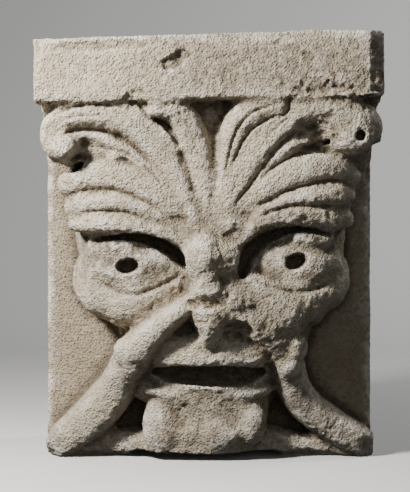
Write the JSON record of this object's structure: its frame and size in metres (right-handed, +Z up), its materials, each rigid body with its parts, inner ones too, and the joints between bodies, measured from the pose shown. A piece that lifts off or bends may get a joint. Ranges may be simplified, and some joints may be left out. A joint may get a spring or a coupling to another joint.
{
  "type": "modillion",
  "caption": "Carved stone bracket block: a worn tablet above a grotesque mask with leafy brows, drilled eyes and two arms, cut flat behind for the wall.",
  "frame": {"origin": "centre of the block's footprint, on its flat bed", "axes": "+Z up from the bed to the tablet's top, -Y out of the carved face, +Y into the wall, +X to the right as seen from the front"},
  "size_m": [0.24, 0.2, 0.3],
  "materials": {
    "limestone": "weathered, tooled and pitted"
  },
  "bodies": {
    "root": {"modillion": "limestone"}
  },
  "joints": []
}
